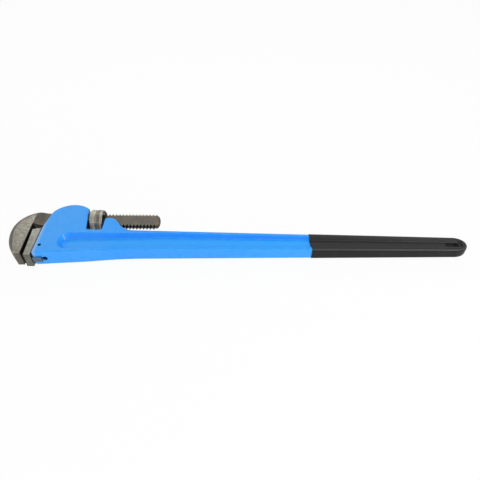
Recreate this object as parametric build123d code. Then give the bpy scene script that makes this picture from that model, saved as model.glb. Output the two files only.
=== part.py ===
from build123d import *
import os
from math import atan, ceil, cos, degrees, floor, pi, radians, sin, sqrt, tan

# Pipe wrench lying on its side. All sizes are in millimetres. It is drawn with X along the handle
# towards its end, Y across the wrench towards the hump and Z through its thickness, with zero at
# the centre of the adjusting nut. A drop is a distance below the shank's axis, along -Y, and a
# setback is a distance along X. At the end everything moves to the middle of the table it lies on.

# Hook jaw: shank and thread
SHANK_HEIGHT = 42.5
SHANK_THICKNESS = 13.0
TAIL_LENGTH = 154.5
TAIL_TOP_RADIUS = 20.5
TAIL_BOTTOM_RADIUS = 19.5
TAIL_NOSE = 5.5
THREAD_PITCH = 8.4
THREAD_DEPTH = 4.2
THREAD_CREST = 2.4
THREAD_AHEAD = 58.0
THREAD_SWEEP = 100.0

# Hook jaw: head and neck
JAW_THICKNESS = 40.0
JAW_GAP = 4.2
HOOK_WIDTH = 50.0
HOOK_BACK_RADIUS = 66.0
HOOK_TIP_DROP = 128.0
HOOK_TIP_WIDTH = 15.5
HOOK_FACE_DROP = 42.0
HOOK_FACE_ANGLE = 1.2
HOOK_THROAT_DROP = 27.5
HOOK_SHOULDER_LEAN = 3.0
HOOK_BAND = 18.0
HOOK_RIM_THICKNESS = 12.0
NECK_RUN = 26.0
TOOTH_PITCH = 5.0
TOOTH_LAND = 0.8
TOOTH_DEPTH = 2.4

# Heel jaw and its pin
HEEL_DEPTH = 21.0
HEEL_FACE_ANGLE = 3.4
HEEL_TOP_DROP = 49.0
HEEL_TOP_SLOPE = 4.0
HEEL_BOTTOM_DROP = 133.5
TONGUE_THICKNESS = 15.0
TONGUE_DEPTH = 22.0
TONGUE_TOP_DROP = 58.0
TONGUE_TOE = 2.0
PIN_DIAMETER = 8.0
PIN_DROP = 101.5
PIN_SETBACK = 12.6
PIN_RECESS = 7.0
PIN_BEVEL = 0.5
JAW_BEVEL = 1.0

# Housing
HEAD_LENGTH = 123.0
HEAD_THICKNESS = 40.0
HEAD_DROP = 128.5
HEAD_CORNER = 6.0
HEAD_LEAN_DROP = 40.0
HEAD_LEAN_RADIUS = 120.0
HUMP_RADIUS = 57.0
HUMP_SETBACK = 63.5
HUMP_HALF_WIDTH = 49.0
HUMP_ROOF = 4.25
RELIEF_DIAMETER = 12.0
WINDOW_FRONT = 24.5
WINDOW_LEAN = 9.0
WINDOW_CORNER = 6.0
FINGER_GAP = 18.0
SEAT_TOP = 12.0
SEAT_BOTTOM_DROP = 17.0
LUG_TOP_DROP = 4.5
LUG_WIDTH = 23.5
LUG_LEAN = 31.0
LUG_ROOT_RADIUS = 45.0
LUG_NOSE_RADIUS = 5.0
LUG_HEEL_RADIUS = 18.0
SADDLE_DEPTH = 3.0
EDGE_RADIUS = 3.5

# Handle
HANDLE_DROP = 78.5
HANDLE_END = 866.0
ROOT_STATION = 168.0
ROOT_HEIGHT = 63.2
ROOT_THICKNESS = 33.6
END_HEIGHT = 42.0
END_THICKNESS = 23.6
NECK_START = -10.0
NECK_END = 60.0
NECK_RADIUS = 400.0
BEND_STATION = 93.0
BEND_RADIUS = 1200.0
FLANGE_WIDTH = 8.5
WEB_THICKNESS = 12.0
WALL_DRAFT = 33.0
RECESS_FRONT = 64.0
RECESS_FRONT_RADIUS = 14.0
RECESS_HEAD_MARGIN = 14.0
RECESS_END_RADIUS = 6.5
RECESS_FLOOR_RADIUS = 4.0
HANG_LENGTH = 37.0
HANG_WIDTH = 15.0
HANG_SETBACK = 12.5
END_REACH = 29.0

# Grip
GRIP_START = 519.0
GRIP_WALL = 1.8
GRIP_EDGE_RADIUS = 7.0
DIP_TILT = 4.0

# Adjusting nut
NUT_DIAMETER = 58.0
NUT_LENGTH = 32.0
NUT_CHAMFER = 3.0
NUT_GROOVE_WIDTH = 3.0
NUT_GROOVE_DEPTH = 1.8
NUT_RELIEF_DIAMETER = 46.0
NUT_RELIEF_DEPTH = 3.0
KNURL_COUNT = 48
KNURL_DEPTH = 1.2
KNURL_LAND = 0.4

# Springs
LEAF_THICKNESS = 2.0
LEAF_WIDTH = 14.0
LEAF_LENGTH = 58.0
LEAF_TOE_RADIUS = 10.0
LEAF_TOE_ANGLE = 25.0
WIRE_DIAMETER = 2.8
COIL_DIAMETER = 17.0
COIL_TURNS = 3
COIL_HEIGHT = 13.5
RIVET_DIAMETER = 4.0
RIVET_HEAD_DIAMETER = 8.0
RIVET_HEAD_HEIGHT = 2.2
RIVET_HEAD_RIM = 0.7

# Clearances and the shank's rocking
ROCK_ANGLE = 2.0
SHANK_CLEARANCE = 0.6
THREAD_CLEARANCE = 0.5
NUT_CLEARANCE = 1.7
LUG_CLEARANCE = 4.5
FIT_CLEARANCE = 0.15
COIL_CLEARANCE = 0.3
SPRING_ROOM = 1.5

# How far a groove's cutting shape reaches past the surface, as a multiple of the groove's depth
CUT_REACH = 1.5

# Places that follow from the sizes above
shank_half = SHANK_HEIGHT / 2
root_radius = shank_half - THREAD_DEPTH
thread_flank = THREAD_PITCH / 2 - THREAD_CREST
passage_half = SHANK_THICKNESS / 2 + SHANK_CLEARANCE
rock_slope = tan(radians(ROCK_ANGLE))
front_x = -HEAD_LENGTH
heel_face_x = front_x - HEEL_DEPTH
hook_face_x = heel_face_x - JAW_GAP
hook_throat = (hook_face_x, -HOOK_FACE_DROP)
hook_tip = (hook_face_x + (HOOK_TIP_DROP - HOOK_FACE_DROP) * tan(radians(HOOK_FACE_ANGLE)), -HOOK_TIP_DROP)
leaf_bottom = shank_half + FIT_CLEARANCE
leaf_top = leaf_bottom + LEAF_THICKNESS
coil_bottom = leaf_top + COIL_CLEARANCE
coil_top = coil_bottom + COIL_HEIGHT
hump_top = coil_top + FIT_CLEARANCE + HUMP_ROOF
window_floor = -(NUT_DIAMETER / 2 + FINGER_GAP)
seat_reach = NUT_LENGTH / 2 + NUT_CLEARANCE
lug_x = NUT_LENGTH / 2 + LUG_CLEARANCE
pin_place = (front_x + PIN_SETBACK, -PIN_DROP)
end_start = HANDLE_END + END_HEIGHT / 2 - END_REACH


def handle_half_height(x):
    """Half of the handle's height at a station along it."""
    share = (x - ROOT_STATION) / (HANDLE_END - ROOT_STATION)
    return (ROOT_HEIGHT + (END_HEIGHT - ROOT_HEIGHT) * share) / 2


def handle_half_thickness(x):
    """Half of the handle's thickness at a station along it."""
    share = (x - ROOT_STATION) / (HANDLE_END - ROOT_STATION)
    return (ROOT_THICKNESS + (END_THICKNESS - ROOT_THICKNESS) * share) / 2


def housing_bottom(x):
    """Lower edge of the housing at a station between its front and the handle's bend."""
    bend_y = -HANDLE_DROP - handle_half_height(BEND_STATION)
    share = (x - front_x) / (BEND_STATION - front_x)
    return -HEAD_DROP + (bend_y + HEAD_DROP) * share


def rounded(face, corners):
    """A face with each (point, radius) corner rounded."""
    for point, radius in corners:
        nearest = face.vertices().sort_by_distance(point)[0]
        face = fillet(nearest, radius)
    return face


def slab(face, thickness):
    """A flat outline made into a plate about the middle plane."""
    return extrude(face, thickness / 2, both=True)


def block(low, high):
    """A box between two opposite corners."""
    size = Vector(*high) - Vector(*low)
    middle = (Vector(*high) + Vector(*low)) / 2
    return Pos(middle) * Box(size.X, size.Y, size.Z)


def rim_edges(solid, side):
    """Edges round the upper (side 1) or lower (side -1) surface of a plate."""
    surfaces = [f for f in solid.faces() if f.normal_at().Z * side > 0.9]
    edges = [edge for surface in surfaces for edge in surface.edges()]
    return [edge for edge in edges if sum(edge.is_same(other) for other in edges) == 1]


def soften(solid, radius):
    """A plate with both of its rims rounded."""
    for side in (1, -1):
        solid = fillet(rim_edges(solid, side), radius)
    return solid


def tooth_grooves(top, bottom, outward):
    """V grooves across a jaw's gripping face, which runs from top to bottom."""
    along = (Vector(*bottom) - Vector(*top)).normalized()
    length = (Vector(*bottom) - Vector(*top)).length
    count = floor(length / TOOTH_PITCH)
    first = (length - count * TOOTH_PITCH) / 2
    half_width = (TOOTH_PITCH - TOOTH_LAND) / 2
    grooves = []
    for index in range(count):
        middle = Vector(*top) + along * (first + (index + 0.5) * TOOTH_PITCH)
        bed = middle - outward * TOOTH_DEPTH
        mouth = bed + outward * TOOTH_DEPTH * CUT_REACH
        spread = along * half_width * CUT_REACH
        face = make_face(Polyline(bed, mouth + spread, mouth - spread, close=True))
        grooves.append(slab(face, 2 * JAW_THICKNESS))
    return grooves


# Handle casting
def thickness_profile(extra):
    """Side view of the wrench's thickness, swept across its whole height and left open at the end."""
    near_x = front_x - HEAD_THICKNESS
    far_x = HANDLE_END + 2 * END_HEIGHT
    head_half = HEAD_THICKNESS / 2 + extra
    neck_half = handle_half_thickness(NECK_END) + extra
    end_half = handle_half_thickness(far_x) + extra
    upper = [(near_x, head_half), (NECK_START, head_half), (NECK_END, neck_half), (far_x, end_half)]
    lower = [(x, -z) for x, z in reversed(upper)]
    face = make_face(Plane.XZ * Polyline(*upper, *lower, close=True))
    bends = [((x, 0, z), NECK_RADIUS) for x, z in upper[1:3] + lower[1:3]]
    return extrude(rounded(face, bends), 2 * HEAD_DROP, both=True)


def end_arc(extra):
    """Half of an ellipse round the handle's end."""
    half = handle_half_height(end_start) + extra
    return EllipticalCenterArc((end_start, -HANDLE_DROP), END_REACH + extra, half,
                               start_angle=-90, arc_size=180)


def casting_outline():
    """Plan of the housing, window, saddle and handle in one closed line."""
    def hump_point(x):
        reach = sqrt(HUMP_RADIUS**2 - (x + HUMP_SETBACK)**2)
        return (x, hump_top - HUMP_RADIUS + reach)

    front_bottom = (front_x, -HEAD_DROP)
    lean_start = (front_x, -HEAD_LEAN_DROP)
    hump_front = hump_point(-HUMP_SETBACK - HUMP_HALF_WIDTH)
    hump_back = hump_point(-WINDOW_FRONT)
    window_front = (-WINDOW_FRONT + WINDOW_LEAN, window_floor)
    window_back = (lug_x, window_floor)
    lug_front = (lug_x, -LUG_TOP_DROP)
    lug_back = (lug_x + LUG_WIDTH, -LUG_TOP_DROP)
    foot_x = lug_x + LUG_WIDTH + LUG_LEAN
    lug_foot = (foot_x, -HANDLE_DROP + handle_half_height(foot_x))
    north_end = (end_start, -HANDLE_DROP + handle_half_height(end_start))
    south_end = (end_start, -HANDLE_DROP - handle_half_height(end_start))
    bend = (BEND_STATION, housing_bottom(BEND_STATION))
    outline = Curve() + [
        Polyline(front_bottom, lean_start, hump_front),
        ThreePointArc(hump_front, hump_point(-HUMP_SETBACK), hump_back),
        Polyline(hump_back, window_front, window_back, lug_front, lug_back, lug_foot, north_end),
        end_arc(0),
        Polyline(south_end, bend, front_bottom),
    ]
    corners = [
        (front_bottom, HEAD_CORNER),
        (lean_start, HEAD_LEAN_RADIUS),
        (hump_front, HEAD_CORNER),
        (hump_back, HEAD_CORNER),
        (window_front, WINDOW_CORNER),
        (window_back, HEAD_CORNER),
        (lug_front, LUG_NOSE_RADIUS),
        (lug_back, LUG_HEEL_RADIUS),
        (lug_foot, LUG_ROOT_RADIUS),
        (bend, BEND_RADIUS),
    ]
    return rounded(make_face(outline), corners)


def recess(side, extra):
    """Hollow in one side of the I-beam, made smaller all round by an extra skin."""
    draft = radians(WALL_DRAFT)
    web_half = WEB_THICKNESS / 2
    inset = extra * (1 - sin(draft)) / cos(draft)
    margin = FLANGE_WIDTH + inset
    head_run = (HEAD_THICKNESS / 2 - web_half) * tan(draft)

    def half_height(x):
        depth = handle_half_thickness(x) - web_half
        return handle_half_height(x) - margin - depth * tan(draft)

    front = -RECESS_FRONT + inset
    back = HANDLE_END + half_height(HANDLE_END)
    north_front = (front, window_floor - RECESS_HEAD_MARGIN - inset - head_run)
    north_root = (ROOT_STATION, -HANDLE_DROP + half_height(ROOT_STATION))
    north_back = (back, -HANDLE_DROP + half_height(back))
    south_back = (back, -HANDLE_DROP - half_height(back))
    south_root = (ROOT_STATION, -HANDLE_DROP - half_height(ROOT_STATION))
    south_front = (front, housing_bottom(front) + margin + EDGE_RADIUS + head_run)
    points = [north_front, north_root, north_back, south_back, south_root, south_front]
    corners = [
        (north_front, RECESS_FRONT_RADIUS - inset),
        (north_root, BEND_RADIUS),
        (north_back, RECESS_END_RADIUS - inset),
        (south_back, RECESS_END_RADIUS - inset),
        (south_root, BEND_RADIUS),
        (south_front, RECESS_FRONT_RADIUS - inset),
    ]
    face = rounded(make_face(Polyline(*points, close=True)), corners)
    hollow = extrude(Pos(0, 0, web_half + extra) * face, HEAD_THICKNESS / 2, taper=-WALL_DRAFT)
    floor_edges = hollow.faces().sort_by(Axis.Z)[0].edges()
    hollow = fillet(floor_edges, RECESS_FLOOR_RADIUS - extra)
    return hollow if side > 0 else mirror(hollow, Plane.XY)


def hang_slot(extra):
    """Slot through the handle's end to hang it by, narrowed by an extra skin."""
    outline = SlotOverall(HANG_LENGTH - 2 * extra, HANG_WIDTH - 2 * extra)
    return slab(Pos(HANDLE_END - HANG_SETBACK, -HANDLE_DROP) * outline, 2 * HEAD_THICKNESS)


def shank_passage():
    """Way through the housing in which the shank can slide and rock, and the springs' room."""
    low = -(shank_half + SHANK_CLEARANCE)
    ceiling = shank_half + SHANK_CLEARANCE
    ahead = front_x - HEAD_THICKNESS
    mouth = ceiling - ahead * rock_slope
    way = slab(make_face(Polyline((0, low), (0, ceiling), (ahead, mouth), (ahead, low), close=True)),
               2 * passage_half)
    leaf_half = LEAF_LENGTH / 2 + SPRING_ROOM
    toe_rise = LEAF_TOE_RADIUS * (1 - cos(radians(LEAF_TOE_ANGLE)))
    room_top = leaf_top + toe_rise + rock_slope * (HUMP_SETBACK + leaf_half) + COIL_CLEARANCE
    room_half = LEAF_WIDTH / 2 + SHANK_CLEARANCE
    room = block((-HUMP_SETBACK - leaf_half, 0, -room_half),
                 (-HUMP_SETBACK + leaf_half, room_top, room_half))
    pocket_top = coil_top + FIT_CLEARANCE
    pocket = Cylinder(COIL_DIAMETER / 2 + SHANK_CLEARANCE, pocket_top)
    pocket = Pos(-HUMP_SETBACK, pocket_top / 2, 0) * Rot(90, 0, 0) * pocket
    return [way, room, pocket]


def heel_slot():
    """Slot in the housing's front for the heel jaw's tongue, with a round relief and a pin hole."""
    half = TONGUE_THICKNESS / 2 + FIT_CLEARANCE
    bed = front_x + TONGUE_DEPTH + FIT_CLEARANCE
    top = -TONGUE_TOP_DROP + FIT_CLEARANCE
    bottom = -2 * HEAD_DROP
    slot = block((2 * front_x, bottom, -half), (bed, top, half))
    relief_x = bed + RELIEF_DIAMETER / 2 - 2 * FIT_CLEARANCE
    relief = Cylinder(RELIEF_DIAMETER / 2, top - bottom)
    relief = Pos(relief_x, (top + bottom) / 2, 0) * Rot(90, 0, 0) * relief
    pin_hole = Pos(*pin_place) * Cylinder(PIN_DIAMETER / 2, 2 * HEAD_THICKNESS)
    return [slot, relief, pin_hole]


def nut_seat():
    """Raised pad on the housing that holds the nut endways against the saddle's lug."""
    half = HEAD_THICKNESS / 2 - EDGE_RADIUS
    return block((-WINDOW_FRONT - EDGE_RADIUS, -SEAT_BOTTOM_DROP, -half),
                 (-seat_reach, SEAT_TOP, half))


def saddle():
    """Channel through the saddle behind the nut, where the shank's tail passes."""
    low = -(shank_half + SADDLE_DEPTH)
    far = lug_x + LUG_WIDTH + 2 * LUG_LEAN
    return block((0, low, -passage_half), (far, SHANK_HEIGHT, passage_half))


def make_handle_casting():
    """The one casting: housing, window, saddle and I-beam handle."""
    body = slab(casting_outline(), 2 * HEAD_THICKNESS) & thickness_profile(0)
    body = soften(body, EDGE_RADIUS) + nut_seat()
    body = body - [*shank_passage(), *heel_slot(), saddle()]
    return body - recess(1, 0) - recess(-1, 0) - hang_slot(0)


# Grip
def make_grip_sleeve(casting):
    """Vinyl skin over the handle's end, down into the hollows and through the hanging slot."""
    start = GRIP_START - 2 * ROOT_HEIGHT
    start_half = handle_half_height(start) + GRIP_WALL
    end_half = handle_half_height(end_start) + GRIP_WALL
    outline = Curve() + [
        Polyline((end_start, -HANDLE_DROP - end_half), (start, -HANDLE_DROP - start_half),
                 (start, -HANDLE_DROP + start_half), (end_start, -HANDLE_DROP + end_half)),
        end_arc(GRIP_WALL),
    ]
    skin = slab(make_face(outline), 2 * HEAD_THICKNESS) & thickness_profile(GRIP_WALL)
    skin = soften(skin, GRIP_EDGE_RADIUS)
    skin = skin - recess(1, GRIP_WALL) - recess(-1, GRIP_WALL) - hang_slot(GRIP_WALL)
    length = HANDLE_END
    dipped = Box(length, length, length, align=(Align.MIN, Align.CENTER, Align.CENTER))
    dipped = Pos(GRIP_START, -HANDLE_DROP) * Rot(0, 0, DIP_TILT) * dipped
    return (skin & dipped) - casting


# Hook jaw
def hook_outline(inset):
    """Plan of the hook's head and plain neck, drawn in along its rounded back by an inset."""
    centre_x = hook_face_x - HOOK_WIDTH + HOOK_BACK_RADIUS
    centre_y = shank_half - HOOK_BACK_RADIUS
    reach = (HOOK_BACK_RADIUS - inset) * sqrt(0.5)
    crown = (centre_x, shank_half - inset)
    knee = (centre_x - reach, centre_y + reach)
    back = (centre_x - HOOK_BACK_RADIUS + inset, centre_y)
    tip_outer = (hook_tip[0] - HOOK_TIP_WIDTH, -HOOK_TIP_DROP)
    share = (HOOK_FACE_DROP - HOOK_THROAT_DROP) / (HOOK_FACE_DROP + shank_half)
    neck_corner = (hook_face_x - HOOK_SHOULDER_LEAN * share, -HOOK_THROAT_DROP)
    neck_top = (-THREAD_AHEAD, shank_half - inset)
    neck_bottom = (-THREAD_AHEAD, -shank_half)
    outline = Curve() + [
        Polyline(neck_bottom, neck_top, crown),
        ThreePointArc(crown, knee, back),
        TangentArc(back, tip_outer, tangent=(0, -1)),
        Polyline(tip_outer, hook_tip, hook_throat, neck_corner),
        TangentArc((front_x, -shank_half), neck_corner, tangent=(-1, 0)),
        Line((front_x, -shank_half), neck_bottom),
    ]
    return make_face(outline)


def neck_blend():
    """Side view of the jaw's thickness, hollowed from the thick head down to the thin neck."""
    half = JAW_THICKNESS / 2
    thin = SHANK_THICKNESS / 2
    far = 2 * HOOK_TIP_DROP
    outline = Curve() + [
        Polyline((0, -half), (-far, -half), (-far, half), (0, half)),
        TangentArc((NECK_RUN, thin), (0, half), tangent=(-1, 0)),
        Polyline((NECK_RUN, thin), (far, thin), (far, -thin), (NECK_RUN, -thin)),
        TangentArc((NECK_RUN, -thin), (0, -half), tangent=(-1, 0)),
    ]
    shoulder = Vector(-HOOK_SHOULDER_LEAN, HOOK_FACE_DROP + shank_half).normalized()
    across = Vector(shoulder.Y, -shoulder.X)
    start = Plane(origin=hook_throat, x_dir=across, z_dir=shoulder)
    return extrude(start * make_face(outline), far, both=True)


def hook_head():
    """Thick head of the hook jaw with a rounded back, a toothed face and the plain neck."""
    rim_half = HOOK_RIM_THICKNESS / 2
    rise = JAW_THICKNESS / 2 - rim_half
    sections = []
    for angle in (0, 30, 60, 90):
        inset = HOOK_BAND * (1 - cos(radians(angle)))
        sections.append(Pos(0, 0, rim_half + rise * sin(radians(angle))) * hook_outline(inset))
    upper = loft(sections)
    forging = upper + slab(hook_outline(0), HOOK_RIM_THICKNESS) + mirror(upper, Plane.XY)
    lean = radians(HOOK_FACE_ANGLE)
    grooves = tooth_grooves(hook_throat, hook_tip, Vector(cos(lean), sin(lean)))
    return (forging & neck_blend()) - grooves


def thread_grooves():
    """Grooves that leave the thread's ridges on both narrow edges, half a pitch apart."""
    half_bed = THREAD_CREST / 2
    half_mouth = half_bed + thread_flank * CUT_REACH
    mouth = root_radius + THREAD_DEPTH * CUT_REACH
    profile = make_face(Polyline((-half_bed, root_radius), (half_bed, root_radius),
                                 (half_mouth, mouth), (-half_mouth, mouth), close=True))
    groove = Rot(-THREAD_SWEEP / 2, 0, 0) * revolve(profile, Axis.X, THREAD_SWEEP)
    lead = degrees(atan(THREAD_PITCH / (pi * (shank_half + root_radius))))
    first = ceil(1 - THREAD_AHEAD / THREAD_PITCH)
    last = floor(TAIL_LENGTH / THREAD_PITCH - 1)
    grooves = []
    for turn in range(first, last + 1):
        grooves.append(Pos((turn + 0.5) * THREAD_PITCH, 0, 0) * Rot(0, lead, 0) * groove)
        grooves.append(Pos(turn * THREAD_PITCH, 0, 0) * Rot(0, -lead, 0) * Rot(180, 0, 0) * groove)
    return grooves


def make_hook_jaw():
    """Hook jaw: head, neck and the threaded shank with its rounded tail."""
    length = TAIL_LENGTH + THREAD_AHEAD
    bar = Pos((TAIL_LENGTH - THREAD_AHEAD) / 2, 0, 0) * Rot(0, 90, 0) * Cylinder(shank_half, length)
    top_corner = (TAIL_LENGTH, shank_half)
    bottom_corner = (TAIL_LENGTH, -shank_half)
    plan = Pos((TAIL_LENGTH - THREAD_AHEAD) / 2, 0) * Rectangle(length, SHANK_HEIGHT)
    plan = rounded(plan, [(top_corner, TAIL_TOP_RADIUS), (bottom_corner, TAIL_BOTTOM_RADIUS)])
    half = SHANK_THICKNESS / 2
    side = Pos((TAIL_LENGTH - THREAD_AHEAD) / 2, 0) * Rectangle(length, SHANK_THICKNESS)
    side = rounded(side, [((TAIL_LENGTH, half), TAIL_NOSE), ((TAIL_LENGTH, -half), TAIL_NOSE)])
    shank = bar & slab(plan, SHANK_HEIGHT) & Rot(90, 0, 0) * slab(side, SHANK_HEIGHT)
    return hook_head() + (shank - thread_grooves())


# Heel jaw
def make_heel_jaw():
    """Fixed jaw: a toothed block with a tongue for the housing's slot."""
    back_x = front_x - FIT_CLEARANCE
    lean = radians(HEEL_FACE_ANGLE)
    face_lean = (HEEL_BOTTOM_DROP - HEEL_TOP_DROP) * tan(lean)
    face_top = (heel_face_x, -HEEL_TOP_DROP)
    face_bottom = (heel_face_x + face_lean, -HEEL_BOTTOM_DROP)
    outline = Polyline(face_top, face_bottom, (back_x, -HEEL_BOTTOM_DROP),
                       (back_x, -HEEL_TOP_DROP + HEEL_TOP_SLOPE), close=True)
    jaw = slab(make_face(outline), JAW_THICKNESS)
    for side in (1, -1):
        jaw = chamfer(rim_edges(jaw, side), JAW_BEVEL)
    half = TONGUE_THICKNESS / 2
    tongue = block((back_x - JAW_BEVEL, -HEEL_BOTTOM_DROP + TONGUE_TOE, -half),
                   (front_x + TONGUE_DEPTH, -TONGUE_TOP_DROP, half))
    pin_hole = Pos(*pin_place) * Cylinder(PIN_DIAMETER / 2 + FIT_CLEARANCE, 2 * JAW_THICKNESS)
    jaw = jaw + tongue
    return jaw - [pin_hole, *tooth_grooves(face_top, face_bottom, Vector(-cos(lean), -sin(lean)))]


def make_heel_jaw_pin():
    """Cross pin, pressed into the housing well below both side faces."""
    pin = Pos(*pin_place) * Cylinder(PIN_DIAMETER / 2, HEAD_THICKNESS - 2 * PIN_RECESS)
    return chamfer(pin.edges().filter_by(GeomType.CIRCLE), PIN_BEVEL)


# Adjusting nut
def nut_thread():
    """Helical groove in the nut's bore, a clearance wider than the shank's ridges."""
    turns = ceil(NUT_LENGTH / 2 / THREAD_PITCH) + 1
    slope = thread_flank / THREAD_DEPTH
    outer = shank_half + THREAD_CLEARANCE
    inner = root_radius - THREAD_CLEARANCE
    half_outer = THREAD_CREST / 2 - THREAD_CLEARANCE * slope + THREAD_CLEARANCE
    half_inner = half_outer + (outer - inner) * slope
    profile = make_face(Plane.XZ * Polyline((inner, -half_inner), (outer, -half_outer),
                                            (outer, half_outer), (inner, half_inner), close=True))
    path = Helix(THREAD_PITCH, 2 * turns * THREAD_PITCH, root_radius)
    groove = sweep(profile, path, is_frenet=True)
    start = Plane(origin=(-turns * THREAD_PITCH, 0, 0), x_dir=(0, 1, 0), z_dir=(1, 0, 0))
    return start.location * groove


def make_adjusting_nut():
    """Round nut with a knurled rim parted by a groove, an inner thread and a relieved rear end."""
    radius = NUT_DIAMETER / 2
    half = NUT_LENGTH / 2
    step = 2 * pi / KNURL_COUNT
    rim = []
    for index in range(KNURL_COUNT):
        for share, depth in ((-KNURL_LAND / 2, 0), (KNURL_LAND / 2, 0), (0.5, KNURL_DEPTH)):
            angle = (index + share) * step
            rim.append(((radius - depth) * cos(angle), (radius - depth) * sin(angle)))
    knurled = slab(make_face(Polyline(*rim, close=True)), NUT_LENGTH)
    knurled = Rot(0, 90, 0) * knurled
    waist = NUT_GROOVE_WIDTH / 2
    bed = radius - NUT_GROOVE_DEPTH
    section = [
        (-half, 0), (-half, radius - NUT_CHAMFER), (NUT_CHAMFER - half, radius),
        (-waist - NUT_GROOVE_DEPTH / 2, radius), (-waist, bed), (waist, bed),
        (waist + NUT_GROOVE_DEPTH / 2, radius), (half - NUT_CHAMFER, radius),
        (half, radius - NUT_CHAMFER), (half, 0),
    ]
    turned = revolve(make_face(Polyline(*section, close=True)), Axis.X)
    bore = Rot(0, 90, 0) * Cylinder(root_radius + THREAD_CLEARANCE, 2 * NUT_LENGTH)
    relief = Rot(0, 90, 0) * Cylinder(NUT_RELIEF_DIAMETER / 2, 2 * NUT_RELIEF_DEPTH)
    return (knurled & turned) - bore - nut_thread() - Pos(half, 0, 0) * relief


# Springs
def make_flat_spring():
    """Leaf on the shank's upper edge, with a toe that curls up at its front."""
    middle_y = leaf_bottom + LEAF_THICKNESS / 2
    back = (-HUMP_SETBACK + LEAF_LENGTH / 2, middle_y)
    toe_length = LEAF_TOE_RADIUS * sin(radians(LEAF_TOE_ANGLE))
    front = (-HUMP_SETBACK - LEAF_LENGTH / 2 + toe_length, middle_y)
    toe = JernArc(front, (-1, 0), LEAF_TOE_RADIUS, -LEAF_TOE_ANGLE)
    path = Curve() + [Line(back, front), toe]
    section = Plane(origin=(*back, 0), x_dir=(0, 1, 0), z_dir=(-1, 0, 0)) * Rectangle(
        LEAF_THICKNESS, LEAF_WIDTH)
    leaf = sweep(section, path)
    hole = Rot(90, 0, 0) * Cylinder(RIVET_DIAMETER / 2, SHANK_HEIGHT)
    return leaf - Pos(-HUMP_SETBACK, middle_y, 0) * hole


def make_spring_rivet():
    """Rivet through the leaf, with a domed head that sits inside the coil."""
    radius = RIVET_DIAMETER / 2
    head = RIVET_HEAD_DIAMETER / 2
    top = LEAF_THICKNESS + RIVET_HEAD_HEIGHT
    edge = LEAF_THICKNESS + RIVET_HEAD_RIM
    outline = Curve() + [
        Polyline((0, top), (0, 0), (radius, 0), (radius, LEAF_THICKNESS), (head, LEAF_THICKNESS),
                 (head, edge)),
        TangentArc((0, top), (head, edge), tangent=(1, 0)),
    ]
    rivet = revolve(make_face(outline), Axis.Y)
    return Pos(-HUMP_SETBACK, leaf_bottom, 0) * rivet


def biarc(start, start_way, end, end_way):
    """Two arcs that join two points and keep to the given directions there."""
    chord = end - start
    both = start_way + end_way
    spread = 2 * (1 - start_way.dot(end_way))
    lean = chord.dot(both)
    reach = (sqrt(lean**2 + spread * chord.dot(chord)) - lean) / spread
    first_knee = start + start_way * reach
    last_knee = end - end_way * reach
    joint = (first_knee + last_knee) / 2
    joint_way = (last_knee - first_knee).normalized()
    return [TangentArc(start, joint, tangent=start_way), TangentArc(joint, end, tangent=joint_way)]


def make_coil_spring():
    """Short coil between the leaf and the hump's roof, wound in quarter turns."""
    radius = (COIL_DIAMETER - WIRE_DIAMETER) / 2
    rise = (COIL_HEIGHT - WIRE_DIAMETER) / (2 * pi * COIL_TURNS)
    base = coil_bottom + WIRE_DIAMETER / 2
    print("coil gap between turns", round(2 * pi * rise - WIRE_DIAMETER, 2))

    def place(angle):
        return Vector(radius * cos(angle) - HUMP_SETBACK, base + rise * angle, -radius * sin(angle))

    def way(angle):
        return Vector(-radius * sin(angle), rise, -radius * cos(angle)).normalized()

    stations = [index * pi / 2 for index in range(4 * COIL_TURNS + 1)]
    path = Curve()
    for before, after in zip(stations, stations[1:]):
        path += biarc(place(before), way(before), place(after), way(after))
    return sweep(Plane(place(0), z_dir=way(0)) * Circle(WIRE_DIAMETER / 2), path)


# Assembly
casting = make_handle_casting()
pieces = {
    "handle_casting": casting,
    "grip_sleeve": make_grip_sleeve(casting),
    "hook_jaw": make_hook_jaw(),
    "heel_jaw": make_heel_jaw(),
    "heel_jaw_pin": make_heel_jaw_pin(),
    "adjusting_nut": make_adjusting_nut(),
    "flat_spring": make_flat_spring(),
    "spring_rivet": make_spring_rivet(),
    "coil_spring": make_coil_spring(),
}
whole = Compound(list(pieces.values())).bounding_box()
to_table = Pos(-whole.center().X, -whole.center().Y, -whole.min.Z)
print("nut centre", (to_table * Pos(0, 0, 0)).position)
print("size", whole.size)

os.makedirs("parts", exist_ok=True)
for name, piece in pieces.items():
    export_step(to_table * piece, f"parts/{name}.step")
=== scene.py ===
"""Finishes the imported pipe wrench: blue enamel, forged steel, black vinyl and a pale studio."""
import math

import bmesh
import bpy
from bpy.props import FloatProperty, FloatVectorProperty, PointerProperty
from mathutils import Matrix, Vector


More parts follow.
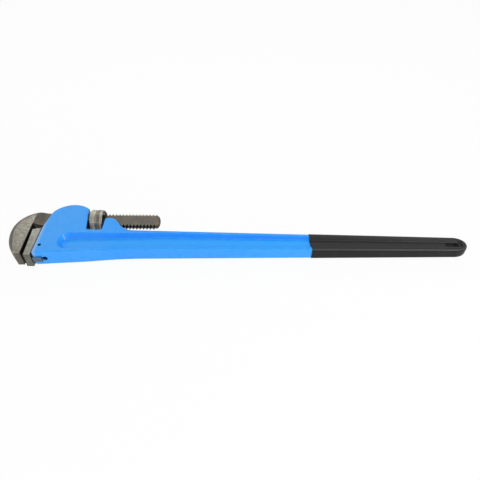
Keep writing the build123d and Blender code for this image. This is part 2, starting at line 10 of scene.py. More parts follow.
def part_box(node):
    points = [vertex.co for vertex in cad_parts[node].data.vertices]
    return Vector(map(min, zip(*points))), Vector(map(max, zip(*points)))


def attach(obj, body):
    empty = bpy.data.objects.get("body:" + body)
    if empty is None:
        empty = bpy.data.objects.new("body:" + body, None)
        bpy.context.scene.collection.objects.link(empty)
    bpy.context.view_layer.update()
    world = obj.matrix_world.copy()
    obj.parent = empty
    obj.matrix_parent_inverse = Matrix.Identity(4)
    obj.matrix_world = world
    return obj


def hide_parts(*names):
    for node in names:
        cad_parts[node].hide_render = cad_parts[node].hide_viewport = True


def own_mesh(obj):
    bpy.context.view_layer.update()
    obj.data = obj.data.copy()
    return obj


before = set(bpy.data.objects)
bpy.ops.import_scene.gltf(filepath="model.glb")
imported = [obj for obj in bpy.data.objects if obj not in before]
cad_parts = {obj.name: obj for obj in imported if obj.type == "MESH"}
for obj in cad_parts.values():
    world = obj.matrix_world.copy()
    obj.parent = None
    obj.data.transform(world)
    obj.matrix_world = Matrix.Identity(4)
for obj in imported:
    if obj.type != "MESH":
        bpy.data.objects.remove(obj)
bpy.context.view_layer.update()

bl_info = {
    "name": "Pipe Wrench Finishes",
    "version": (1, 0, 0),
    "blender": (4, 5, 0),
    "location": "View3D > Sidebar > Pipe Wrench",
    "description": "Enamels, dips and forges the pieces of a pipe wrench and sets up its studio",
    "category": "Object",
}

# Directions on the wrench
TO_JAWS = (-1.0, 0.0, 0.0)
TO_GRIP = (1.0, 0.0, 0.0)
TO_HUMP = (0.0, 1.0, 0.0)
TO_HEEL = (0.0, -1.0, 0.0)

# Housing and handle: places from the frame and sizes of the casting, in metres
NUT_LOW, NUT_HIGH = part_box("adjusting_nut")
NUT_CENTRE = (NUT_LOW + NUT_HIGH) / 2
HANDLE_AXIS = sum(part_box("grip_sleeve"), Vector()) / 2
HOUSING_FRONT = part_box("handle_casting")[0].x
# Reach over which the housing's painted reflection fades in
HOUSING_FADE = 0.08
# Front edge where the heel jaw rubs the paint and a highlight is painted
WORN_AND_LIT_FRONT = (HOUSING_FRONT + 0.003, 0.0, 0.0)
WEB_REACH = 0.0065
WEB_FADE = 0.002
WINDOW_FOOT = NUT_CENTRE + Vector((-0.0155, -0.047, 0.0))
WINDOW_FLOOR = WINDOW_FOOT + Vector((0.0, 0.006, 0.0))
WINDOW_LEAN = math.atan2(9.0, 73.2)

# Jaws: places from the frame and sizes of the forgings, in metres
JAW_GAP = 0.0042
HEEL_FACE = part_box("heel_jaw")[0].x
HOOK_FACE = HEEL_FACE - JAW_GAP
FACE_TOP = NUT_CENTRE.y - 0.045
FACE_LENGTH = 0.075
HOOK_LEAN = math.radians(1.2)
HEEL_LEAN = math.radians(3.4)
SHANK_HALF = 0.02125
NECK_FOOT = (0.0, NUT_CENTRE.y - SHANK_HALF - 0.009, 0.0)
NECK_FRONT = (HOOK_FACE + 0.008, 0.0, 0.0)
TONGUE_FRONT = (HOUSING_FRONT + 0.004, 0.0, 0.0)

# Rings on the nut, in metres from its middle towards the grip: a painted highlight, a painted shade, and
# worn crests with a painted highlight
NUT_FADE = 0.0012
HIGHLIGHT_RING = (-0.0143, -0.0062)
SHADED_RING = (-0.0012, 0.0096)
WORN_AND_HIGHLIT_RINGS = ((-0.0062, -0.0018), (0.0102, 0.0126))

# Coil spring: reach for joining its points
MERGE_REACH = 1e-6


def srgb(red, green, blue):
    """A colour as seen on a screen, 0 to 255, as linear light."""
    def linear(channel):
        share = channel / 255
        return share / 12.92 if share <= 0.04045 else ((share + 0.055) / 1.055) ** 2.4

    return linear(red), linear(green), linear(blue)


def colour_setting(name, description, *channels):
    return FloatVectorProperty(name=name, description=description, subtype="COLOR", size=3,
                               min=0.0, max=1.0, default=srgb(*channels))


def length_setting(name, description, default):
    return FloatProperty(name=name, description=description, default=default, min=0.0,
                         precision=5, unit="LENGTH", subtype="DISTANCE")


def share_setting(name, description, default):
    return FloatProperty(name=name, description=description, default=default, min=0.0, max=1.0,
                         subtype="FACTOR")


# Settings
class EnamelSettings(bpy.types.PropertyGroup):
    """Paint on the housing and handle."""
    colour: colour_setting("Blue", "Colour of the paint", 32, 153, 249)
    # Painted shade: deeper blue laid into inner corners and onto the recess's north wall
    shade_blue: colour_setting("Deep blue", "Colour where the paint pools in corners", 14, 116, 232)
    # Thin paint; also used as painted highlight on edges and painted reflection on the housing
    thin: colour_setting("Thin blue", "Colour where the paint runs thin over edges", 74, 172, 252)
    # Painted shade: near-black blue in holes and narrow gaps
    crevice_shade: colour_setting("Crevice", "Colour in holes and narrow gaps", 6, 16, 44)
    # Rubbed paint, also a painted highlight along the housing's front edge
    rubbed_and_highlight: colour_setting("Rubbed blue", "Colour where the heel jaw rubs the paint pale", 142, 182, 226)
    # Painted sheen: paler blue on the handle's lower outer side
    lower_side_sheen: colour_setting("Scuffed blue", "Colour of the handle's lower side", 128, 152, 214)
    # Painted shade: purer blue on the web, standing in for its weaker reflection
    web_shade_blue: colour_setting("Pooled blue", "Colour where the paint lies thick on the web", 4, 170, 255)
    bare: colour_setting("Chip", "Dark casting under a chip", 62, 66, 74)
    gloss: share_setting("Roughness", "Roughness of clean paint", 0.22)
    peel: length_setting("Orange peel", "Width of the paint's ripples", 0.0026)
    casting: length_setting("Cast skin", "Width of the casting's unevenness under the paint", 0.016)


class SteelSettings(bpy.types.PropertyGroup):
    """Forged and machined steel."""
    jaw_light: colour_setting("Jaw light", "Light scale on the forged jaws", 156, 153, 142)
    jaw_dark: colour_setting("Jaw dark", "Dark scale on the forged jaws", 98, 95, 87)
    # Forged finish and painted shade: darker on faces that are neither flat sides nor ends
    forged_sides_and_shade: colour_setting("Forged sides", "Shade of the unground sides", 178, 176, 174)
    # Painted shade on the jaws' ends that face the heel's side
    ends_painted_shade: colour_setting("Sawn ends", "Shade of the jaws' lower ends", 212, 210, 206)
    heel_light: colour_setting("Heel light", "Light scale on the cleaner heel jaw", 164, 166, 157)
    heel_dark: colour_setting("Heel dark", "Dark scale on the cleaner heel jaw", 103, 103, 97)
    shank: colour_setting("Shank", "Darker, browner scale on the shank", 70, 66, 61)
    # Blue tint on the heel jaw's tongue
    tongue_blue: colour_setting("Overspray", "Blue mist on the heel jaw's tongue", 78, 116, 158)
    tint: colour_setting("Oil tint", "Brown film of old oil", 112, 86, 64)
    # Worn crests; also painted highlight on the nut
    nut_light_and_highlight: colour_setting("Nut light", "Worn crests of the nut", 178, 175, 165)
    # Knurl beds; also painted shade on the nut
    nut_dark_and_shade: colour_setting("Nut dark", "Beds of the nut's knurl", 102, 95, 85)
    spring: colour_setting("Spring steel", "Tempered springs and rivet", 150, 148, 146)
    pin: colour_setting("Pin steel", "Ground pin", 96, 95, 93)
    # Painted shade in grooves, corners and gaps, and dark oil on the teeth
    soot_and_shade: colour_setting("Soot", "Dirt in grooves, corners and between the teeth", 20, 18, 16)
    pebble: length_setting("Pebble", "Width of the forged surface's pebbles", 0.0024)
    grit: length_setting("Grit", "Width of the finest grain", 0.0007)


class VinylSettings(bpy.types.PropertyGroup):
    """Dipped grip."""
    colour: colour_setting("Black", "Colour of the vinyl", 27, 27, 27)
    # Rubbed vinyl, dust and scratches; also painted highlight on the grip's rounded rims
    rubbed_and_highlight: colour_setting("Rubbed", "Colour where hands rub the edges", 80, 80, 80)
    shade: colour_setting("Corner", "Colour in the hollows", 14, 14, 14)
    skin: length_setting("Skin", "Width of the skin's pores", 0.0011)
    ripple: length_setting("Ripple", "Width of the slow ripples left by dipping", 0.02)
    sheen: share_setting("Roughness", "Roughness of the vinyl", 0.4)


class StudioSettings(bpy.types.PropertyGroup):
    """Camera, lights and floor."""
    target: FloatVectorProperty(name="Target", description="Point at the picture's middle",
                                subtype="XYZ", unit="LENGTH", size=3, default=(0.0079, -0.0144, 0.029))
    elevation: FloatProperty(name="Elevation", description="Camera's angle above the floor",
                             subtype="ANGLE", default=math.radians(45))
    roll: FloatProperty(name="Roll", description="Camera's turn about its own axis",
                        subtype="ANGLE", default=math.radians(0.5375))
    distance: length_setting("Distance", "From the camera to the target", 1.0939)
    lens: FloatProperty(name="Lens", description="Focal length", unit="CAMERA", default=34.125)
    floor_size: length_setting("Floor", "Width of the floor", 12.0)
    sky: FloatProperty(name="Sky", description="Strength of the even light", default=0.4)


# Node helpers
class Nodes:
    """Adds and links nodes in one node tree."""

    def __init__(self, tree):
        self.tree = tree

    def add(self, kind, inputs=None, **settings):
        node = self.tree.nodes.new(kind)
        for name, value in settings.items():
            setattr(node, name, value)
        for name, value in (inputs or {}).items():
            self.feed(node.inputs[name], value)
        return node

    def feed(self, socket, value):
        if isinstance(value, bpy.types.NodeSocket):
            self.tree.links.new(value, socket)
        elif socket.type == "RGBA" and len(value) == 3:
            socket.default_value = (*value, 1.0)
        else:
            socket.default_value = value

    def math(self, operation, *values):
        node = self.add("ShaderNodeMath", dict(enumerate(values)), operation=operation)
        return node.outputs[0]

    def step(self, value, low, high, start=0.0, end=1.0):
        """A smooth step from start to end as the value goes from low to high."""
        node = self.add("ShaderNodeMapRange", {"Value": value, "From Min": low, "From Max": high,
                                               "To Min": start, "To Max": end},
                        interpolation_type="SMOOTHSTEP")
        return node.outputs["Result"]

    def blend(self, share, first, second, mode="MIX"):
        node = self.add("ShaderNodeMix", data_type="RGBA", blend_type=mode)
        for index, value in ((0, share), (6, first), (7, second)):
            self.feed(node.inputs[index], value)
        return node.outputs[2]

    def veil(self, colour, mask, amount, over, mode="MIX"):
        """The colour with another over it where the mask shows, up to an amount."""
        return self.blend(self.math("MULTIPLY", mask, amount), colour, over, mode)

    def both(self, first, second):
        """Where two masks show together."""
        return self.math("MULTIPLY", first, second)

    def either(self, first, second):
        """Where at least one of two masks shows."""
        return self.math("MAXIMUM", first, second)

    def place(self):
        return self.add("ShaderNodeTexCoord").outputs["Object"]

    def noise(self, size, detail, vector=None, roughness=0.55):
        """Cloudy noise whose patches are about size metres wide."""
        node = self.add("ShaderNodeTexNoise", {"Vector": vector or self.place(), "Detail": detail,
                                               "Scale": self.math("DIVIDE", 1.0, size),
                                               "Roughness": roughness})
        return node.outputs["Fac"]

    def group(self, name, **values):
        node = self.add("ShaderNodeGroup", node_tree=bpy.data.node_groups[name])
        for label, value in values.items():
            self.feed(node.inputs[label.replace("_", " ").capitalize()], value)
        return node.outputs

    def band(self, facing, point, depth):
        """A mask that grows to full over a depth in front of a plane through a point."""
        facing = Vector(facing)
        return self.group("Plane band", facing=facing, offset=facing.dot(point), depth=depth)["Mask"]

    def relief(self, shader, *heights):
        """Adds (height, depth in metres) pairs into one bump for the shader's normal."""
        total = 0.0
        for height, depth in heights:
            total = self.math("MULTIPLY_ADD", height, depth, total)
        bump = self.add("ShaderNodeBump", {"Height": total, "Distance": 1.0, "Strength": 1.0})
        self.feed(shader["Normal"], bump.outputs["Normal"])


# Shared effects
def new_group(name, inputs, outputs):
    """An empty shader group, its builder, and the group's two ends."""
    tree = bpy.data.node_groups.new(name, "ShaderNodeTree")
    for label, default in inputs.items():
        kind = "NodeSocketFloat" if isinstance(default, float) else "NodeSocketVector"
        socket = tree.interface.new_socket(label, in_out="INPUT", socket_type=kind)
        socket.default_value = default
    for label in outputs:
        tree.interface.new_socket(label, in_out="OUTPUT", socket_type="NodeSocketFloat")
    nodes = Nodes(tree)
    return nodes, nodes.add("NodeGroupInput").outputs, nodes.add("NodeGroupOutput").inputs


def edges_and_corners():
    """Masks for outer edges, for wear and painted highlight, and for inner corners and the deepest gaps,
    for painted shade.
    """
    nodes, given, made = new_group(
        "Edges and corners", {"Edge reach": 0.003, "Corner reach": 0.01, "Break size": 0.004},
        ("Edge", "Corner", "Crevice"))
    inside = nodes.add("ShaderNodeAmbientOcclusion", {"Distance": given["Edge reach"]}, samples=8,
                       inside=True, only_local=True).outputs["AO"]
    outside = nodes.add("ShaderNodeAmbientOcclusion", {"Distance": given["Corner reach"]}, samples=8,
                        only_local=True).outputs["AO"]
    broken = nodes.step(nodes.noise(given["Break size"], 4.0), 0.3, 0.7, 0.45, 1.0)
    nodes.feed(made["Edge"], nodes.both(nodes.step(inside, 0.95, 0.55), broken))
    nodes.feed(made["Corner"], nodes.step(outside, 0.97, 0.45))
    nodes.feed(made["Crevice"], nodes.step(outside, 0.6, 0.36))


def grain():
    """Uneven height in two widths, a coarse one and one a third as wide."""
    nodes, given, made = new_group("Grain", {"Size": 0.002}, ("Coarse", "Fine"))
    nodes.feed(made["Coarse"], nodes.noise(given["Size"], 2.0))
    nodes.feed(made["Fine"], nodes.noise(nodes.math("MULTIPLY", given["Size"], 0.33), 3.0))


def scuffs():
    """Short scratches that mostly run along the handle."""
    nodes, given, made = new_group("Scuffs", {"Width": 0.0006, "Amount": 0.3}, ("Mask",))
    turned = nodes.add("ShaderNodeMapping", {"Vector": nodes.place(), "Rotation": (0.1, 0.25, 0.35),
                                             "Scale": (0.06, 1.0, 1.0)}).outputs["Vector"]
    lines = nodes.noise(given["Width"], 1.0, turned)
    patches = nodes.step(nodes.noise(0.03, 2.0), 0.45, 0.65)
    level = nodes.math("SUBTRACT", 0.82, nodes.math("MULTIPLY", given["Amount"], 0.2))
    thin = nodes.step(nodes.math("SUBTRACT", lines, level), 0.0, 0.04)
    nodes.feed(made["Mask"], nodes.both(thin, patches))


def plane_band():
    """Mask that rises over a depth and is full beyond a plane, for dirt and zones on a piece."""
    nodes, given, made = new_group(
        "Plane band", {"Facing": (1.0, 0.0, 0.0), "Offset": 0.0, "Depth": 0.003}, ("Mask",))
    reach = nodes.add("ShaderNodeVectorMath", {0: nodes.place(), 1: given["Facing"]},
                      operation="DOT_PRODUCT").outputs["Value"]
    start = nodes.math("SUBTRACT", given["Offset"], given["Depth"])
    nodes.feed(made["Mask"], nodes.step(reach, start, given["Offset"]))


def ground_flats():
    """Masks for a piece's two flat sides, for its ends on the heel's side and for its rounded rims."""
    nodes, _, made = new_group("Ground flats", {}, ("Sides", "Ends", "Rims"))
    normal = nodes.add("ShaderNodeTexCoord").outputs["Normal"]
    facing = nodes.add("ShaderNodeSeparateXYZ", {0: normal}).outputs
    level = nodes.math("ABSOLUTE", facing["Z"])
    nodes.feed(made["Sides"], nodes.step(level, 0.95, 0.998))
    nodes.feed(made["Ends"], nodes.step(facing["Y"], -0.7, -0.95))
    nodes.feed(made["Rims"], nodes.both(nodes.step(level, 0.4, 0.78), nodes.step(level, 0.995, 0.9)))


# Finishes
def new_finish(name, **constants):
    """A material with one Principled shader: its builder and that shader's inputs."""
    material = bpy.data.materials.new(name)
    material.use_nodes = True
    shader = material.node_tree.nodes["Principled BSDF"]
    for label, value in constants.items():
        shader.inputs[label.replace("_", " ")].default_value = value
    return material, Nodes(material.node_tree), shader.inputs


def leaning(angle):
    """The direction to the grip, turned by an angle towards the hump."""
    return Vector((math.cos(angle), math.sin(angle), 0.0))


def window_shadow(nodes):
    """Painted shadow on the nut window's front wall, beside the nut."""
    wall = nodes.band(leaning(WINDOW_LEAN), WINDOW_FOOT, 0.0014)
    before_lug = nodes.band(TO_JAWS, NUT_HIGH, 0.001)
    over_floor = nodes.band(TO_HUMP, WINDOW_FLOOR, 0.004)
    return nodes.both(nodes.both(wall, before_lug), over_floor)


def web_zone(nodes):
    """The thin web between the handle's flanges, by its distance from the middle plane."""
    height = nodes.add("ShaderNodeSeparateXYZ", {0: nodes.place()}).outputs["Z"]
    depth = nodes.math("ABSOLUTE", nodes.math("SUBTRACT", height, NUT_CENTRE.z))
    return nodes.step(depth, WEB_REACH + WEB_FADE, WEB_REACH)


def blue_enamel(look):
    material, nodes, shader = new_finish("blue_enamel", Specular_IOR_Level=0.185)
    mask = nodes.group("Edges and corners", edge_reach=0.005, corner_reach=0.02, break_size=0.006)
    skin = nodes.group("Grain", size=look.casting)
    peel = nodes.group("Grain", size=look.peel)
    scratch = nodes.group("Scuffs", width=0.0007, amount=0.35)["Mask"]
    chip = nodes.step(nodes.math("MULTIPLY", mask["Edge"], nodes.noise(0.0022, 4.0)), 0.6, 0.64)
    ground = nodes.group("Ground flats")
    web = nodes.both(ground["Sides"], web_zone(nodes))
    outer = nodes.both(ground["Ends"], nodes.band(TO_HEEL, HANDLE_AXIS, 0.004))
    # Faces towards the heel above the handle's axis, chiefly the recess's north wall
    wall = nodes.math("SUBTRACT", ground["Ends"], outer)
    housing = nodes.band(TO_JAWS, NUT_CENTRE, HOUSING_FADE)
    front = nodes.band(TO_JAWS, WORN_AND_LIT_FRONT, 0.009)
    colour = nodes.veil(look.colour, nodes.step(skin["Coarse"], 0.35, 0.65), 0.2, look.thin)
    # Painted shade on the web, standing in for its weaker reflection
    colour = nodes.veil(colour, web, 0.6, look.web_shade_blue)
    # Painted sheen on the handle's lower outer side
    colour = nodes.veil(colour, outer, 0.12, look.lower_side_sheen)
    # Painted shade: the recess's north wall painted deeper blue
    colour = nodes.veil(colour, wall, 0.75, look.shade_blue)
    # Painted reflection: the housing a little lighter than the handle
    colour = nodes.veil(colour, housing, 0.25, look.thin)
    # Painted shade: deeper blue in inner corners
    colour = nodes.veil(colour, mask["Corner"], 0.4, look.shade_blue)
    # Thin paint on outer edges, with a painted highlight along them
    colour = nodes.veil(colour, mask["Edge"], 0.5, look.thin)
    colour = nodes.veil(colour, scratch, 0.25, look.thin)
    # Rubbed paint and a painted highlight along the housing's front edge
    colour = nodes.veil(colour, front, 0.8, look.rubbed_and_highlight)
    # Painted shade in holes and narrow gaps
    colour = nodes.veil(colour, mask["Crevice"], 0.95, look.crevice_shade)
    # Painted shadow on the nut window's wall beside the nut
    colour = nodes.veil(colour, window_shadow(nodes), 0.95, look.crevice_shade)
    nodes.feed(shader["Base Color"], nodes.blend(chip, colour, look.bare))
    rough = nodes.math("MULTIPLY_ADD", peel["Fine"], 0.12, look.gloss - 0.06)
    rough = nodes.math("MULTIPLY_ADD", scratch, 0.15, rough)
    nodes.feed(shader["Roughness"], nodes.math("MULTIPLY_ADD", chip, 0.35, rough))
    nodes.relief(shader, (skin["Coarse"], 0.00045), (peel["Coarse"], 0.00007), (chip, -0.0001))
    return material


def scaly_steel(nodes, look, light, dark, edge_reach, corner_reach):
    """Blotchy, oiled and scratched steel: its colour, and its edge and corner masks."""
    mask = nodes.group("Edges and corners", edge_reach=edge_reach, corner_reach=corner_reach,
                       break_size=0.003)
    pebble = nodes.group("Grain", size=look.pebble)
    scratch = nodes.group("Scuffs", width=0.0005, amount=0.5)["Mask"]
    patches = nodes.step(nodes.noise(0.011, 5.0, roughness=0.65), 0.36, 0.66)
    speck = nodes.step(pebble["Coarse"], 0.38, 0.62)
    tone = nodes.math("MULTIPLY_ADD", patches, 0.4, nodes.math("MULTIPLY", speck, 0.6))
    colour = nodes.blend(tone, dark, light)
    oiled = nodes.step(nodes.noise(0.028, 3.0), 0.5, 0.7)
    colour = nodes.veil(colour, oiled, 0.35, look.tint)
    return nodes.veil(colour, scratch, 0.3, light), mask


def steel_surface(nodes, look, shader, mask, pebble_depth):
    """Grainy roughness and pebbled relief for forged steel."""
    pebble = nodes.group("Grain", size=look.pebble)
    grit = nodes.group("Grain", size=look.grit)
    rough = nodes.math("MULTIPLY_ADD", grit["Fine"], 0.24, 0.34)
    nodes.feed(shader["Roughness"], nodes.math("MULTIPLY_ADD", mask["Edge"], -0.1, rough))
    nodes.relief(shader, (pebble["Coarse"], pebble_depth), (grit["Coarse"], pebble_depth * 0.2))


def hook_oil_and_shade(nodes):
    """Dark oil and painted shade on the hook's toothed face, and painted shadow under its neck."""
    face = nodes.band(leaning(HOOK_LEAN), (HOOK_FACE, FACE_TOP, 0.0), 0.003)
    below = nodes.band(TO_HEEL, NECK_FOOT, 0.004)
    return nodes.both(face, below)


def heel_oil_and_shade(nodes):
    """Dark oil and painted shade on the heel jaw's toothed face."""
    return nodes.band(-leaning(HEEL_LEAN), (HEEL_FACE, FACE_TOP, 0.0), 0.003)


def shank_scale(nodes, look, colour):
    """The hook jaw's colour with stained dark scale on its neck and shank."""
    zone = nodes.both(nodes.band(TO_GRIP, NECK_FRONT, 0.01), nodes.band(TO_HUMP, NECK_FOOT, 0.005))
    stain = nodes.step(nodes.noise(0.034, 2.0), 0.5, 0.64)
    colour = nodes.veil(colour, zone, 0.85, look.shank)
    return nodes.veil(colour, nodes.both(zone, stain), 0.4, look.tint)


def tongue_tint(nodes, look, colour):
    """The heel jaw's colour with a blue tint on its tongue, which sits inside the painted housing."""
    return nodes.veil(colour, nodes.band(TO_GRIP, TONGUE_FRONT, 0.003), 0.6, look.tongue_blue)


def jaw_steel(look, name, light, dark, zone, soot_and_shade):
    """Forged steel with ground sides, painted shade on its rims, ends and corners, oiled teeth with
    painted shade, and a zone that only this jaw has.
    """
    material, nodes, shader = new_finish(name, Metallic=0.9)
    colour, mask = scaly_steel(nodes, look, light, dark, 0.0022, 0.007)
    ground = nodes.group("Ground flats")
    forged = nodes.math("SUBTRACT", 1.0, nodes.either(ground["Sides"], ground["Ends"]))
    low = nodes.band(TO_HEEL, (0.0, FACE_TOP - FACE_LENGTH, 0.0), FACE_LENGTH)
    # Forged finish and painted shade on the rims
    colour = nodes.veil(colour, forged, 1.0, look.forged_sides_and_shade, "MULTIPLY")
    # Painted shade on the ends that face the heel's side
    colour = nodes.veil(colour, ground["Ends"], 1.0, look.ends_painted_shade, "MULTIPLY")
    colour = nodes.veil(colour, low, 0.45, dark)
    colour = zone(nodes, look, colour)
    colour = nodes.veil(colour, mask["Edge"], 0.5, light)
    # Painted shade in corners
    colour = nodes.veil(colour, mask["Corner"], 0.85, look.soot_and_shade)
    # Dark oil and painted shade on the teeth, and painted shadow under the hook's neck
    nodes.feed(shader["Base Color"], nodes.veil(colour, soot_and_shade(nodes), 0.95, look.soot_and_shade))
    steel_surface(nodes, look, shader, mask, 0.0002)
    return material


def ring(nodes, low, high):
    """A ring round the nut between two distances from its middle."""
    after = nodes.band(TO_GRIP, NUT_CENTRE + Vector((low, 0.0, 0.0)), NUT_FADE)
    before = nodes.band(TO_JAWS, NUT_CENTRE + Vector((high, 0.0, 0.0)), NUT_FADE)
    return nodes.both(after, before)


def nut_steel(look):
    material, nodes, shader = new_finish("nut_steel", Metallic=0.9)
    colour, mask = scaly_steel(nodes, look, look.nut_light_and_highlight, look.nut_dark_and_shade, 0.0012, 0.003)
    # The nut's end faces, to be painted dark as shadow
    ends = nodes.either(nodes.band(TO_GRIP, NUT_HIGH, NUT_FADE), nodes.band(TO_JAWS, NUT_LOW, NUT_FADE))
    worn = nodes.either(*(ring(nodes, *edges) for edges in WORN_AND_HIGHLIT_RINGS))
    colour = nodes.veil(colour, mask["Edge"], 0.7, look.nut_light_and_highlight)
    # Painted shade in the knurl's grooves
    colour = nodes.veil(colour, mask["Corner"], 0.5, look.nut_dark_and_shade)
    # Painted highlight on a ring of the nut
    colour = nodes.veil(colour, ring(nodes, *HIGHLIGHT_RING), 0.4, look.nut_light_and_highlight)
    # Painted shade on a ring of the nut towards the grip
    colour = nodes.veil(colour, ring(nodes, *SHADED_RING), 0.55, look.nut_dark_and_shade)
    # Worn crests, painted lighter also as highlight
    colour = nodes.veil(colour, worn, 0.7, look.nut_light_and_highlight)
    # Painted shadow on the nut's end faces
    nodes.feed(shader["Base Color"], nodes.veil(colour, ends, 0.95, look.soot_and_shade))
    steel_surface(nodes, look, shader, mask, 0.00008)
    return material


def drawn_steel(look, name, colour, axis):
    """Ground or drawn steel with fine streaks along an axis."""
    material, nodes, shader = new_finish(name, Metallic=0.9)
    corner = nodes.group("Edges and corners", corner_reach=0.002)["Corner"]
    scale = [1.0, 1.0, 1.0]
    scale[axis] = 0.08
    stretched = nodes.add("ShaderNodeMapping", {"Vector": nodes.place(), "Scale": scale})
    streak = nodes.noise(0.0005, 3.0, stretched.outputs["Vector"])
    film = nodes.step(nodes.noise(0.006, 3.0), 0.5, 0.75)
    shade = nodes.blend(nodes.step(streak, 0.3, 0.7, 0.0, 0.35), colour, look.soot_and_shade)
    shade = nodes.veil(shade, film, 0.3, look.tint)
    # Painted shade in corners
    nodes.feed(shader["Base Color"], nodes.veil(shade, corner, 0.7, look.soot_and_shade))
    nodes.feed(shader["Roughness"], nodes.step(streak, 0.2, 0.8, 0.26, 0.48))
    nodes.relief(shader, (streak, 0.00002))
    return material


def black_vinyl(look):
    material, nodes, shader = new_finish("black_vinyl", Specular_IOR_Level=0.17)
    corner = nodes.group("Edges and corners", corner_reach=0.016)["Corner"]
    rim = nodes.group("Ground flats")["Rims"]
    skin = nodes.group("Grain", size=look.skin)
    ripple = nodes.group("Grain", size=look.ripple)
    scratch = nodes.group("Scuffs", width=0.0009, amount=0.3)["Mask"]
    dusty = nodes.step(nodes.noise(0.05, 5.0, roughness=0.7), 0.5, 0.8)
    # Painted highlight on the grip's rounded rims
    colour = nodes.veil(look.colour, rim, 0.5, look.rubbed_and_highlight)
    # Painted shade in the grip's hollows
    colour = nodes.veil(colour, corner, 0.6, look.shade)
    colour = nodes.veil(colour, dusty, 0.12, look.rubbed_and_highlight)
    nodes.feed(shader["Base Color"], nodes.veil(colour, scratch, 0.2, look.rubbed_and_highlight))
    rough = nodes.math("MULTIPLY_ADD", skin["Fine"], 0.2, look.sheen - 0.1)
    nodes.feed(shader["Roughness"], nodes.math("MULTIPLY_ADD", dusty, 0.12, rough))
    nodes.relief(shader, (ripple["Coarse"], 0.0005), (skin["Coarse"], 0.00009))
    return material


def dress(material, *names):
    """Puts a finish on CAD nodes."""
    for name in names:
        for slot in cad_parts[name].material_slots:
            slot.material = material


# Operators
class WRENCH_OT_effects(bpy.types.Operator):
    """Build the shared wear-and-shade, grain, scratch and zone groups"""
    bl_idname = "wrench.effects"
    bl_label = "Shared Effects"

    def execute(self, context):
        for effect in (edges_and_corners, grain, scuffs, plane_band, ground_flats):
            effect()
        return {"FINISHED"}


class WRENCH_OT_casting(bpy.types.Operator):
    """Enamel the housing and handle"""
    bl_idname = "wrench.casting"
    bl_label = "Enamelled Casting"

    def execute(self, context):
        dress(blue_enamel(context.scene.wrench_enamel), "handle_casting")
        return {"FINISHED"}


class WRENCH_OT_grip(bpy.types.Operator):
    """Dip the grip in vinyl"""
    bl_idname = "wrench.grip"
    bl_label = "Vinyl Grip"

    def execute(self, context):
        dress(black_vinyl(context.scene.wrench_vinyl), "grip_sleeve")
        return {"FINISHED"}


class WRENCH_OT_jaws(bpy.types.Operator):
    """Forge the hook jaw and the heel jaw"""
    bl_idname = "wrench.jaws"
    bl_label = "Forged Jaws"

    def execute(self, context):
        look = context.scene.wrench_steel
        hook = jaw_steel(look, "hook_steel", look.jaw_light, look.jaw_dark, shank_scale, hook_oil_and_shade)
        heel = jaw_steel(look, "heel_steel", look.heel_light, look.heel_dark, tongue_tint, heel_oil_and_shade)
        dress(hook, "hook_jaw")
        dress(heel, "heel_jaw")
        return {"FINISHED"}


class WRENCH_OT_nut(bpy.types.Operator):
    """Finish the knurled nut"""
    bl_idname = "wrench.nut"
    bl_label = "Knurled Nut"

    def execute(self, context):
        dress(nut_steel(context.scene.wrench_steel), "adjusting_nut")
        return {"FINISHED"}


class WRENCH_OT_springs(bpy.types.Operator):
    """Finish the springs, their rivet and the heel jaw's pin"""
    bl_idname = "wrench.springs"
    bl_label = "Springs and Pin"

    def execute(self, context):
        look = context.scene.wrench_steel
        tempered = drawn_steel(look, "spring_steel", look.spring, 0)
        dress(tempered, "flat_spring", "spring_rivet")
        dress(drawn_steel(look, "pin_steel", look.pin, 2), "heel_jaw_pin")
        self.coil(context.scene, tempered)
        return {"FINISHED"}

    def coil(self, scene, material):
        """The coil spring as one joined, smooth mesh, hung on the handle's body in place of the CAD
        coil.
        """
        shape = bmesh.new()
        shape.from_mesh(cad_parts["coil_spring"].data)
        bmesh.ops.remove_doubles(shape, verts=shape.verts, dist=MERGE_REACH)
        for face in shape.faces:
            face.smooth = True
        mesh = bpy.data.meshes.new("coil_turns")
        shape.to_mesh(mesh)
        shape.free()
        mesh.materials.append(material)
        coil = bpy.data.objects.new("coil_turns", mesh)
        scene.collection.objects.link(coil)
        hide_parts("coil_spring")
        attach(coil, "handle")
        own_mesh(coil)


# Studio
WHITE = (1.0, 1.0, 1.0)
FLOOR_SHADE = (0.85, 0.85, 0.85)
FLOOR_WHITE = 0.95
SENSOR_WIDTH = 36.0

# Lamps: name, place, width and height in metres, watts, and whether gloss mirrors it
LAMPS = (
    ("softbox", (0.0, 1.15, 1.15), (3.2, 0.9), 12.0, True),
    ("front", (0.0, -1.3, 1.4), (2.4, 0.35), 11.0, True),
    ("key", (1.07, -0.96, 0.78), (0.3, 0.3), 7.0, True),
    ("fill", (0.0, -1.7, 0.4), (2.4, 0.8), 8.5, False),
)


def show_white(nodes, output, plain, strength):
    """Shows white to the camera and to mirrors, and the plain shader to all other light."""
    path = nodes.add("ShaderNodeLightPath").outputs
    seen = nodes.either(path["Is Camera Ray"], path["Is Glossy Ray"])
    seen = nodes.either(seen, path["Is Transmission Ray"])
    white = nodes.add("ShaderNodeEmission", {"Color": WHITE, "Strength": 1.0})
    mix = nodes.add("ShaderNodeMixShader", {0: nodes.math("MULTIPLY", seen, strength), 1: plain,
                                            2: white.outputs[0]})
    nodes.feed(output, mix.outputs[0])


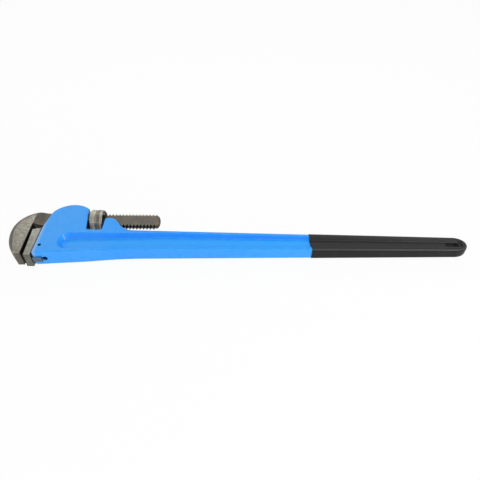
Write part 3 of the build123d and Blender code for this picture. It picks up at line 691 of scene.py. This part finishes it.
class WRENCH_OT_studio(bpy.types.Operator):
    """Set up the floor, the lights and the camera"""
    bl_idname = "wrench.studio"
    bl_label = "Studio"

    def execute(self, context):
        scene = context.scene
        look = scene.wrench_studio
        self.floor(scene, look)
        self.sky(scene, look)
        self.lamps(scene)
        self.camera(scene, look)
        scene.view_settings.view_transform = "Standard"
        return {"FINISHED"}

    def floor(self, scene, look):
        shape = bmesh.new()
        bmesh.ops.create_grid(shape, x_segments=8, y_segments=8, size=look.floor_size / 2)
        mesh = bpy.data.meshes.new("floor")
        shape.to_mesh(mesh)
        shape.free()
        floor = bpy.data.objects.new("floor", mesh)
        scene.collection.objects.link(floor)
        material = bpy.data.materials.new("pale_floor")
        material.use_nodes = True
        material.node_tree.nodes.clear()
        nodes = Nodes(material.node_tree)
        plain = nodes.add("ShaderNodeBsdfDiffuse", {"Color": FLOOR_SHADE})
        output = nodes.add("ShaderNodeOutputMaterial").inputs["Surface"]
        show_white(nodes, output, plain.outputs[0], FLOOR_WHITE)
        mesh.materials.append(material)

    def sky(self, scene, look):
        world = bpy.data.worlds.new("studio")
        scene.world = world
        world.use_nodes = True
        world.node_tree.nodes.clear()
        nodes = Nodes(world.node_tree)
        plain = nodes.add("ShaderNodeBackground", {"Color": WHITE, "Strength": look.sky})
        output = nodes.add("ShaderNodeOutputWorld").inputs["Surface"]
        show_white(nodes, output, plain.outputs[0], 1.0)

    def lamps(self, scene):
        for name, place, size, power, mirrored in LAMPS:
            data = bpy.data.lights.new(name, "AREA")
            data.shape = "RECTANGLE"
            data.size, data.size_y = size
            data.energy = power
            lamp = bpy.data.objects.new(name, data)
            lamp.location = place
            lamp.rotation_euler = (-Vector(place)).to_track_quat("-Z", "Y").to_euler()
            lamp.visible_glossy = mirrored
            scene.collection.objects.link(lamp)

    def camera(self, scene, look):
        data = bpy.data.cameras.new("camera")
        data.lens = look.lens
        data.sensor_width = SENSOR_WIDTH
        camera = bpy.data.objects.new("camera", data)
        tilt = Matrix.Rotation(math.pi / 2 - look.elevation, 4, "X")
        roll = Matrix.Rotation(look.roll, 4, "Z")
        back = Vector((0.0, -math.cos(look.elevation), math.sin(look.elevation)))
        place = Matrix.Translation(Vector(look.target) + back * look.distance)
        camera.matrix_world = place @ tilt @ roll
        scene.collection.objects.link(camera)
        scene.camera = camera


class WRENCH_PT_panel(bpy.types.Panel):
    """Lists the wrench's finishes"""
    bl_idname = "WRENCH_PT_panel"
    bl_label = "Pipe Wrench"
    bl_space_type = "VIEW_3D"
    bl_region_type = "UI"
    bl_category = "Pipe Wrench"

    def draw(self, context):
        for step in STEPS:
            self.layout.operator(step.bl_idname)
        for label in SETTINGS:
            group = getattr(context.scene, label)
            column = self.layout.column(heading=label)
            for name in group.__annotations__:
                column.prop(group, name)


SETTINGS = {
    "wrench_enamel": EnamelSettings,
    "wrench_steel": SteelSettings,
    "wrench_vinyl": VinylSettings,
    "wrench_studio": StudioSettings,
}
STEPS = (WRENCH_OT_effects, WRENCH_OT_casting, WRENCH_OT_grip, WRENCH_OT_jaws, WRENCH_OT_nut,
         WRENCH_OT_springs, WRENCH_OT_studio)


def register():
    for label, group in SETTINGS.items():
        bpy.utils.register_class(group)
        setattr(bpy.types.Scene, label, PointerProperty(type=group))
    for cls in (*STEPS, WRENCH_PT_panel):
        bpy.utils.register_class(cls)


def unregister():
    for cls in (WRENCH_PT_panel, *reversed(STEPS)):
        bpy.utils.unregister_class(cls)
    for label, group in SETTINGS.items():
        delattr(bpy.types.Scene, label)
        bpy.utils.unregister_class(group)


def main():
    register()
    for step in STEPS:
        getattr(bpy.ops.wrench, step.bl_idname.split(".")[1])()


if __name__ == "__main__":
    main()
